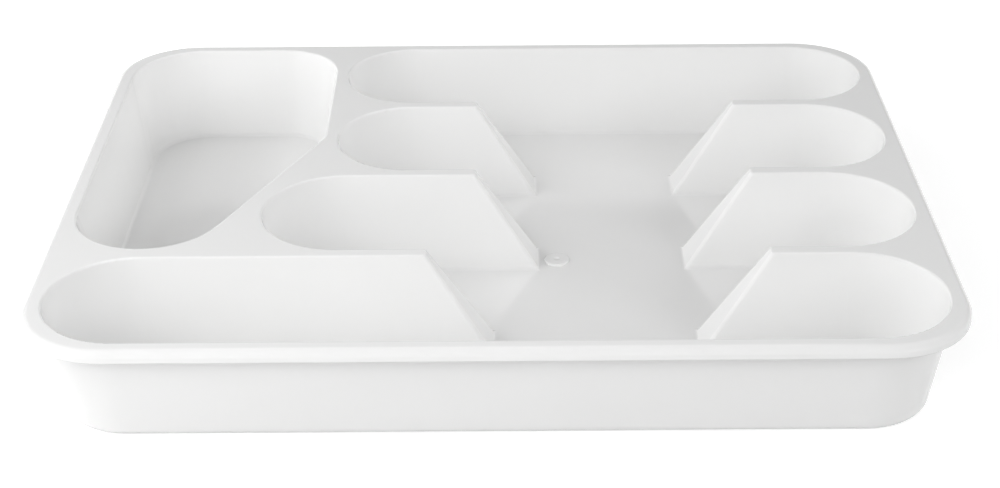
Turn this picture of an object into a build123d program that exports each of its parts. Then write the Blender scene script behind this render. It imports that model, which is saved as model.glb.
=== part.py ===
from build123d import *
import math
import os

# Cutlery tray: a thin-walled plastic moulding with four round-ended slots that run into one
# central bowl, a large bin at the back left corner, and a hooked rim all round.
# The moulding is written out as its regions, which meet face to face: lip, deck, walls, round
# ends, dividers and floors. Seen from below it is open between the compartments, whose own
# walls are also the outside of the tray.
# The origin is the middle of the face it rests on. X runs along the long side, to the right,
# Y to the back and Z up. Lengths are millimetres and angles are degrees.

# The whole moulding
tray_width = 310.0
tray_height = 38.3
wall = 1.6
wall_draft = 9.0

# Rim: a flat margin round the openings that ends in a hooked lip
rim_width = 6.1
rim_corner_radius = 30.5
lip_height = 4.5
lip_thickness = 1.6
lip_top_radius = 2.5
lip_edge_radius = 0.7
lip_groove_radius = 0.9

# Slots, from front to back, and the dividers between them. The upper and the back slot stop
# short of the bin, and the lower slot runs on past its diagonal side.
front_slot_width = 56.2
lower_slot_width = 57.0
upper_slot_width = 56.3
back_slot_width = 54.2
lower_slot_extra = 22.9
divider_width = 5.0

# Central bowl: the dividers reach this share of the short slots from each side, and stop with
# sloped ends. The front left divider stops sooner.
right_divider_share = 0.262
left_divider_share = 0.253
front_bowl_extra = 16.4
divider_end_angle = 57.5
divider_end_radius = 1.4

# Bin: straight back and sides, and a diagonal side that swings into a round front
bin_width = 83.6
bin_length = 175.8
bin_gap = 4.9
bin_front_radius = 26.3
bin_back_left_radius = 27.7
bin_back_right_radius = 24.0
bin_side_corner_radius = 2.0
bin_diagonal_angle = 65.8

# Roundings inside the tray: the outside follows them a wall thickness further out
floor_radius = 1.5
opening_edge_radius = 0.8

# Mark of the injection point on the floor of the bowl
gate_diameter = 9.6
gate_height = 0.8
gate_edge_height = 0.3
gate_dimple_diameter = 2.8
gate_dimple_depth = 0.3
gate_clearance = 1.3

# How far a cutting shape runs past what it cuts
overrun = 2.0

# Sizes that follow from the ones above
draft_share = math.tan(math.radians(wall_draft))
flat_wall = wall / math.cos(math.radians(wall_draft))
end_share = 1 / math.tan(math.radians(divider_end_angle))
flat_end_wall = wall / math.sin(math.radians(divider_end_angle))
deck_underside = tray_height - wall
margin = rim_width - flat_wall
slot_widths = [front_slot_width, lower_slot_width, upper_slot_width, back_slot_width]
tray_depth = 2 * rim_width + sum(slot_widths) + (len(slot_widths) - 1) * divider_width
opening_right = tray_width / 2 - rim_width
opening_left = -opening_right
opening_front = rim_width - tray_depth / 2
opening_back = -opening_front
full_length = opening_right - opening_left
short_length = full_length - bin_width - bin_gap
slot_lengths = [full_length, short_length + lower_slot_extra, short_length, short_length]
slot_fronts = [opening_front + sum(slot_widths[:i]) + i * divider_width for i in range(len(slot_widths))]
slot_middles = [front + width / 2 for front, width in zip(slot_fronts, slot_widths)]
divider_middles = [front - divider_width / 2 for front in slot_fronts[1:]]
bowl_right = opening_right - short_length * right_divider_share
bowl_left = opening_right - short_length * (1 - left_divider_share)
bowl_lefts = [bowl_left - front_bowl_extra, bowl_left, bowl_left]
bowl_middle = (bowl_left + bowl_right) / 2
divider_foot = bowl_left + deck_underside * end_share
divider_foot_end = divider_foot + floor_radius * math.tan(math.radians(divider_end_angle) / 2)
gate_middle = divider_foot_end + gate_clearance + gate_diameter / 2
bin_right = opening_left + bin_width

# Planes across X where the round ends of the slots begin
right_ends = opening_right - max(slot_widths) / 2
left_ends = -right_ends
slot_starts = [opening_right - length + width / 2 for length, width in zip(slot_lengths, slot_widths)]
inner_ends = max(slot_starts)


def block(x_range, y_range, z_range):
    """A box from its lowest and highest place on each axis."""
    sizes = [high - low for low, high in (x_range, y_range, z_range)]
    middles = [(low + high) / 2 for low, high in (x_range, y_range, z_range)]
    return Pos(*middles) * Box(*sizes)


def sunk(outline, top, bottom):
    """Pocket shape that tapers in with the wall draft from its outline at height top."""
    return Solid.extrude_taper((Pos(0, 0, top) * outline).face(), (0, 0, bottom - top), wall_draft)


def slot_shape(index, grow, top, bottom):
    """One round-ended slot, grow wider each way than the slot at deck level."""
    rise = grow + (top - tray_height) * draft_share
    length = slot_lengths[index] + 2 * rise
    width = slot_widths[index] + 2 * rise
    middle_x = opening_right - slot_lengths[index] / 2
    return sunk(Pos(middle_x, slot_middles[index]) * SlotOverall(length, width), top, bottom)


def bowl_shape(index, grow, top, bottom):
    """Clearing between the sloped ends of one divider and its twin across the bowl."""
    top_rise = (top - tray_height) * end_share
    bottom_rise = (bottom - tray_height) * end_share
    right = bowl_right + grow
    left = bowl_lefts[index] - grow
    profile = Polygon(
        (left - top_rise, top),
        (right + top_rise, top),
        (right + bottom_rise, bottom),
        (left - bottom_rise, bottom),
        align=None,
    )
    y_low, y_high = slot_middles[index], slot_middles[index + 1]
    return extrude(Plane.XZ.offset(-y_high) * profile, y_high - y_low, dir=(0, -1, 0))


def well_shape(grow, end_grow, top, bottom):
    """The four slots and the bowl as one shape."""
    slots = [slot_shape(index, grow, top, bottom) for index in range(len(slot_widths))]
    bowls = [bowl_shape(index, end_grow, top, bottom) for index in range(len(divider_middles))]
    return Part() + slots + bowls


def bin_outline(grow):
    """The bin's corners are those of a polygon, each rounded by its own radius."""
    left, right = opening_left - grow, bin_right + grow
    back = opening_back + grow
    front_radius = bin_front_radius + grow
    round_middle = opening_back - bin_length + bin_front_radius
    corner_half_angle = math.radians(90 - bin_diagonal_angle) / 2
    tip = round_middle - front_radius / math.tan(corner_half_angle)
    side_end = tip + (right - left) * math.tan(math.radians(bin_diagonal_angle))
    corners = [
        ((left, back), bin_back_left_radius + grow),
        ((right, back), bin_back_right_radius + grow),
        ((right, side_end), bin_side_corner_radius + grow),
        ((left, tip), front_radius),
    ]
    outline = Polygon(*[place for place, radius in corners], align=None)
    for place, radius in corners:
        nearest = outline.vertices().sort_by_distance(place)[0]
        outline = fillet(nearest, radius)
    return outline


def bin_shape(grow, top, bottom):
    rise = grow + (top - tray_height) * draft_share
    return sunk(bin_outline(rise), top, bottom)


def rounded_foot(shape, radius):
    """Rounds the edge round the lowest face of a pocket shape."""
    return fillet(shape.faces().sort_by(Axis.Z)[0].edges(), radius)


def divider_end_edges(shape):
    """Sloping straight edges of a well shape, where the ends of the dividers meet their sides."""
    straight = shape.edges().filter_by(GeomType.LINE)
    sloping = straight.filter_by(lambda edge: abs(edge.tangent_at(0).Z) > draft_share)
    return sloping.filter_by(lambda edge: min(bowl_lefts) < edge.center().X < bowl_right)


def compartment(pocket, outside):
    """Wall and floor of constant thickness between a pocket and its outside."""
    floor = extrude(pocket.faces().sort_by(Axis.Z)[0], wall, dir=(0, 0, -1))
    shell = outside - pocket
    return shell - floor, shell & floor


def make_tray():
    """The deck with its openings, and the wall and floor of the well and of the bin."""
    above = tray_height + overrun
    outside_radius = floor_radius + wall
    well = rounded_foot(well_shape(0, 0, above, wall), floor_radius)
    well = fillet(divider_end_edges(well), divider_end_radius)
    well_outside = well_shape(flat_wall, flat_end_wall, deck_underside, 0)
    bin_pocket = rounded_foot(bin_shape(0, above, wall), floor_radius)
    bin_outside = bin_shape(flat_wall, deck_underside, 0)

    deck = extrude(Pos(0, 0, deck_underside) * rim_outline(margin), wall) - well - bin_pocket
    openings = deck.faces().sort_by(Axis.Z)[-1].inner_wires().edges()
    deck = fillet(openings, opening_edge_radius)
    well_wall, well_floor = compartment(well, rounded_foot(well_outside, outside_radius))
    bin_wall, bin_floor = compartment(bin_pocket, rounded_foot(bin_outside, outside_radius))
    return deck, well_wall, well_floor, bin_wall, bin_floor


def rim_outline(inset):
    """Rounded rectangle of the rim, moved in by inset."""
    return RectangleRounded(tray_width - 2 * inset, tray_depth - 2 * inset, rim_corner_radius - inset)


def make_lip():
    """Flat margin outside the walls, its rounded edge and the hook that hangs from it."""
    lip_low = tray_height - lip_height
    lip = extrude(Pos(0, 0, lip_low) * rim_outline(0), lip_height)
    lip = fillet(lip.faces().sort_by(Axis.Z)[-1].edges(), lip_top_radius)
    lip = fillet(lip.faces().sort_by(Axis.Z)[0].edges(), lip_edge_radius)
    groove = extrude(Pos(0, 0, lip_low - overrun) * rim_outline(lip_thickness), lip_height - wall + overrun)
    groove = fillet(groove.faces().sort_by(Axis.Z)[-1].edges(), lip_groove_radius)
    inside = extrude(Pos(0, 0, lip_low) * rim_outline(margin), lip_height + overrun)
    return lip - groove - inside


def make_gate_button():
    """Low round button with a dimple, left where the plastic enters the mould."""
    standing = (Align.CENTER, Align.CENTER, Align.MIN)
    button = Cylinder(gate_diameter / 2, gate_height, align=standing)
    button = fillet(button.edges().sort_by(Axis.Z)[-1], gate_height - gate_edge_height)
    dimple_radius = gate_dimple_diameter / 2
    ball_radius = (dimple_radius**2 + gate_dimple_depth**2) / (2 * gate_dimple_depth)
    button -= Pos(0, 0, gate_height - gate_dimple_depth + ball_radius) * Sphere(ball_radius)
    return Pos(gate_middle, 0, wall) * button


def main():
    deck, well_wall, well_floor, bin_wall, bin_floor = make_tray()
    nodes = {
        "rim_lip": make_lip(),
        "well_floor": well_floor,
        "bin_floor": bin_floor,
        "bin_wall": bin_wall,
        "gate_button": make_gate_button(),
    }
    all_height = (-overrun, tray_height + overrun)

    # Dividers: one each side of the bowl in each gap between two slots, with the deck over them
    rows = ["front", "middle", "back"]
    starts = [slot_starts[1], inner_ends, inner_ends]
    for row, start, low, high in zip(rows, starts, slot_middles, slot_middles[1:]):
        sides = {"left": (start, bowl_middle), "right": (bowl_middle, right_ends)}
        for side, reach in sides.items():
            zone = block(reach, (low, high), all_height)
            nodes[row + "_" + side + "_divider"] = (deck & zone) + (well_wall & zone)
            deck -= zone
            well_wall -= zone
    nodes["top_deck"] = deck

    # Round ends of the slots, and the straight walls between them
    gaps = [-tray_depth, *divider_middles, tray_depth]
    left_starts = [left_ends, inner_ends, inner_ends, inner_ends]
    names = ["front", "lower", "upper", "back"]
    for name, start, low, high in zip(names, left_starts, gaps, gaps[1:]):
        nodes[name + "_slot_left_end"] = well_wall & block((-tray_width, start), (low, high), all_height)
        nodes[name + "_slot_right_end"] = well_wall & block((right_ends, tray_width), (low, high), all_height)
    straight = (left_ends, right_ends)
    nodes["front_wall"] = well_wall & block(straight, (-tray_depth, slot_middles[0]), all_height)
    rear_reach = (left_ends, slot_starts[1])
    nodes["front_slot_rear_wall"] = well_wall & block(rear_reach, (slot_middles[0], gaps[1]), all_height)
    back_reach = (inner_ends, right_ends)
    nodes["back_wall"] = well_wall & block(back_reach, (slot_middles[-1], tray_depth), all_height)

    os.makedirs("parts", exist_ok=True)
    for name, shape in nodes.items():
        solids = shape.solids()
        print(name, len(solids), "solids, volume", round(sum(solid.volume for solid in solids), 1))
        export_step(shape, "parts/" + name + ".step")


main()
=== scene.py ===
import math

import bpy
from mathutils import Matrix, Vector


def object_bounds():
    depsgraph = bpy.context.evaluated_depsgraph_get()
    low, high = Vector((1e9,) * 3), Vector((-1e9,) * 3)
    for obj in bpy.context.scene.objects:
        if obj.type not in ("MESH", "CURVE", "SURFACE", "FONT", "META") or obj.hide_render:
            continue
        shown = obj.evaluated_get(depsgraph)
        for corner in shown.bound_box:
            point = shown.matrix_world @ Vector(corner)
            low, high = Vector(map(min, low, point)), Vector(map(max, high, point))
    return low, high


# Cutlery tray in glossy white plastic, on a white floor in soft light from the left and the front.
# Lengths are metres and angles are degrees, in the tray's own frame.

# The camera stands in front of the tray and looks down on it
IMAGE_WIDTH_PX = 1000
FOCAL_LENGTH_PX = 1953.5
SENSOR_WIDTH_MM = 36.0
CAMERA_CLIP_START = 0.01
CAMERA_PLACE = Vector((0.00218, -0.64778, 0.35569))
CAMERA_PITCH = 28.173
CAMERA_YAW = -0.066
CAMERA_ROLL = 0.425

# White plastic, with the scale of each noise in features per metre
PLASTIC_IOR = 1.5
PLASTIC_DARKEST = (0.89, 0.89, 0.886, 1)
PLASTIC_PALEST = (0.91, 0.91, 0.908, 1)
PLASTIC_GLOSSIEST = 0.11
PLASTIC_DULLEST = 0.17
RIPPLE_STRENGTH = 0.15
RIPPLE_DEPTH = 0.0002
TINT_NOISE = {"scale": 30, "detail": 3}
GLOSS_NOISE = {"scale": 120, "detail": 4}
RIPPLE_NOISE = {"scale": 45, "detail": 2}

# Floor and sky: the eye sees white all round, and reflections see it near the horizon only.
# The floor's glow is lower at the tray, to keep its shadow, and white far from it.
# The top of the horizon is the Z, from 0 to 1, at which its glow has faded out.
WHITE = (1, 1, 1, 1)
FLOOR_SIZE = 6.0
FLOOR_COLOUR = (0.7, 0.7, 0.7, 1)
FLOOR_ROUGHNESS = 0.9
FLOOR_GLOW = 0.5
FLOOR_GLOW_FAR = 1.0
FLOOR_GLOW_REACH = 1.6
SKY_LIGHT = 0.15
SKY_HORIZON_GLOW = 0.85
SKY_HORIZON_TOP = 0.35

# Soft square lamps that face the tray. Azimuth 0 is the front and -90 the left.
NEAR = {"distance": 0.9, "size": 0.5}
FAR = {"distance": 1.8, "size": 0.9}
LAMPS = {
    "key": {"azimuth": -20, "elevation": 40, "watts": 0.78, **NEAR},
    "high_front": {"azimuth": 0, "elevation": 40, "watts": 0.72, **NEAR},
    "high_left_front": {"azimuth": -45, "elevation": 40, "watts": 1.15, **NEAR},
    "high_left": {"azimuth": -90, "elevation": 40, "watts": 1.6, **NEAR},
    "low_front": {"azimuth": -20, "elevation": 18, "watts": 0.8, **NEAR},
    "low_left_front": {"azimuth": -65, "elevation": 18, "watts": 1.85, **NEAR},
    "low_left": {"azimuth": -110, "elevation": 18, "watts": 1.35, **NEAR},
    "front_right": {"azimuth": 45, "elevation": 25, "watts": 7.0, **FAR},
    "low_right": {"azimuth": 90, "elevation": 25, "watts": 5.3, **FAR},
    "back_right": {"azimuth": 135, "elevation": 25, "watts": 5.6, **FAR},
    "back": {"azimuth": 180, "elevation": 55, "watts": 3.0, **FAR},
}
# The others give no reflection, so that they don't glare off the flat rim in low views
REFLECTED_LAMPS = ("back",)

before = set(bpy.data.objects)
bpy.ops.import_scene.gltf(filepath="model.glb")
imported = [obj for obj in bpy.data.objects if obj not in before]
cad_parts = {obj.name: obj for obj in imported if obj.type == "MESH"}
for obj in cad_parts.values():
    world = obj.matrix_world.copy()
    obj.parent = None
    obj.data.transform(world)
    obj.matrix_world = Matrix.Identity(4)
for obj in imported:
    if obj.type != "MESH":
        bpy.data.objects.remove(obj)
cad_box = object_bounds()


def link(tree, source, target):
    tree.links.new(source, target)


def new_node(tree, kind, **values):
    """A shader node with its settings and the values of its sockets."""
    node = tree.nodes.new(kind)
    for name, value in values.items():
        if name in node.inputs:
            node.inputs[name].default_value = value
        else:
            setattr(node, name, value)
    return node


def noise(tree, place, scale, detail):
    """Noise in the tray's own frame, from 0 to 1."""
    node = new_node(tree, "ShaderNodeTexNoise", Scale=scale, Detail=detail)
    link(tree, place, node.inputs["Vector"])
    return node.outputs["Fac"]


def between(tree, factor, low, high, end=1.0):
    """A number that runs from low to high as factor runs from 0 to end."""
    node = tree.nodes.new("ShaderNodeMapRange")
    node.inputs["From Max"].default_value = end
    node.inputs["To Min"].default_value = low
    node.inputs["To Max"].default_value = high
    link(tree, factor, node.inputs["Value"])
    return node.outputs["Result"]


def maths(tree, operation, first, second):
    """An operation on two outputs, or on an output and a number."""
    node = new_node(tree, "ShaderNodeMath", operation=operation)
    link(tree, first, node.inputs[0])
    if isinstance(second, (int, float)):
        node.inputs[1].default_value = second
    else:
        link(tree, second, node.inputs[1])
    return node.outputs["Value"]


def seen(tree):
    """1 for camera, glossy and transmission rays, and 0 for the rays that light the tray."""
    paths = tree.nodes.new("ShaderNodeLightPath")
    total = maths(tree, "ADD", paths.outputs["Is Camera Ray"], paths.outputs["Is Glossy Ray"])
    total = maths(tree, "ADD", total, paths.outputs["Is Transmission Ray"])
    return maths(tree, "MINIMUM", total, 1)


def white_plastic():
    """Glossy injection-moulded plastic, with uneven gloss and a faint ripple in the surface."""
    material = bpy.data.materials.new("white_plastic")
    material.use_nodes = True
    tree = material.node_tree
    shader = tree.nodes["Principled BSDF"]
    shader.inputs["IOR"].default_value = PLASTIC_IOR
    place = tree.nodes.new("ShaderNodeTexCoord").outputs["Object"]

    tint = new_node(tree, "ShaderNodeMix", data_type="RGBA")
    tint.inputs["A"].default_value = PLASTIC_DARKEST
    tint.inputs["B"].default_value = PLASTIC_PALEST
    link(tree, noise(tree, place, **TINT_NOISE), tint.inputs["Factor"])
    link(tree, tint.outputs["Result"], shader.inputs["Base Color"])

    gloss = noise(tree, place, **GLOSS_NOISE)
    roughness = between(tree, gloss, PLASTIC_GLOSSIEST, PLASTIC_DULLEST)
    link(tree, roughness, shader.inputs["Roughness"])

    ripple = new_node(tree, "ShaderNodeBump", Strength=RIPPLE_STRENGTH, Distance=RIPPLE_DEPTH)
    link(tree, noise(tree, place, **RIPPLE_NOISE), ripple.inputs["Height"])
    link(tree, ripple.outputs["Normal"], shader.inputs["Normal"])
    return material


def floor_material():
    """White floor that shows the tray's shadow, and glows to the eye and in reflections."""
    material = bpy.data.materials.new("floor_white")
    material.use_nodes = True
    tree = material.node_tree
    shader = tree.nodes["Principled BSDF"]
    shader.inputs["Base Color"].default_value = FLOOR_COLOUR
    shader.inputs["Roughness"].default_value = FLOOR_ROUGHNESS
    shader.inputs["Emission Color"].default_value = WHITE
    place = tree.nodes.new("ShaderNodeTexCoord").outputs["Object"]
    distance = new_node(tree, "ShaderNodeVectorMath", operation="LENGTH")
    link(tree, place, distance.inputs[0])
    away = distance.outputs["Value"]
    glow = between(tree, away, FLOOR_GLOW, FLOOR_GLOW_FAR, end=FLOOR_GLOW_REACH)
    link(tree, maths(tree, "MULTIPLY", seen(tree), glow), shader.inputs["Emission Strength"])
    return material


def make_floor():
    """Flat square under the tray."""
    half = FLOOR_SIZE / 2
    mesh = bpy.data.meshes.new("floor")
    corners = [(-half, -half, 0), (half, -half, 0), (half, half, 0), (-half, half, 0)]
    mesh.from_pydata(corners, [], [(0, 1, 2, 3)])
    floor = bpy.data.objects.new("floor", mesh)
    bpy.context.scene.collection.objects.link(floor)
    floor.location.z = cad_box[0][2]
    mesh.materials.append(floor_material())


def make_sky():
    """Soft studio surround that the camera sees as white."""
    world = bpy.data.worlds.new("studio")
    world.use_nodes = True
    tree = world.node_tree
    direction = tree.nodes.new("ShaderNodeTexCoord").outputs["Generated"]
    split = tree.nodes.new("ShaderNodeSeparateXYZ")
    link(tree, direction, split.inputs["Vector"])
    horizon = between(tree, split.outputs["Z"], SKY_HORIZON_GLOW, 0, end=SKY_HORIZON_TOP)
    strength = maths(tree, "ADD", maths(tree, "MULTIPLY", seen(tree), horizon), SKY_LIGHT)
    paths = tree.nodes.new("ShaderNodeLightPath")
    strength = maths(tree, "MAXIMUM", paths.outputs["Is Camera Ray"], strength)
    background = tree.nodes["Background"]
    background.inputs["Color"].default_value = WHITE
    link(tree, strength, background.inputs["Strength"])
    bpy.context.scene.world = world


def make_lamps():
    """Each lamp is turned to its azimuth and elevation, then backed off from the tray."""
    for name, settings in LAMPS.items():
        lamp = bpy.data.lights.new(name, "AREA")
        lamp.size = settings["size"]
        lamp.energy = settings["watts"]
        turn = Matrix.Rotation(math.radians(settings["azimuth"]), 4, "Z")
        tilt = Matrix.Rotation(math.radians(90 - settings["elevation"]), 4, "X")
        back_off = Matrix.Translation((0, 0, settings["distance"]))
        holder = bpy.data.objects.new(name, lamp)
        holder.matrix_world = turn @ tilt @ back_off
        holder.visible_camera = False
        holder.visible_glossy = name in REFLECTED_LAMPS
        bpy.context.scene.collection.objects.link(holder)


def make_camera():
    """Camera in the place that a fit to the photograph gave."""
    camera = bpy.data.cameras.new("camera")
    camera.sensor_width = SENSOR_WIDTH_MM
    camera.lens = FOCAL_LENGTH_PX / IMAGE_WIDTH_PX * SENSOR_WIDTH_MM
    camera.clip_start = CAMERA_CLIP_START
    holder = bpy.data.objects.new("camera", camera)
    turn = Matrix.Rotation(math.radians(-CAMERA_YAW), 4, "Z")
    tilt = Matrix.Rotation(math.radians(90 - CAMERA_PITCH), 4, "X")
    roll = Matrix.Rotation(math.radians(-CAMERA_ROLL), 4, "Z")
    holder.matrix_world = Matrix.Translation(CAMERA_PLACE) @ turn @ tilt @ roll
    bpy.context.scene.collection.objects.link(holder)
    bpy.context.scene.camera = holder


def dress_tray():
    """One plastic on every node, because the tray is one moulding."""
    plastic = white_plastic()
    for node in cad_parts.values():
        node.data.materials.clear()
        node.data.materials.append(plastic)


make_camera()
make_sky()
make_lamps()
make_floor()
dress_tray()
bpy.context.scene.view_settings.view_transform = "Standard"
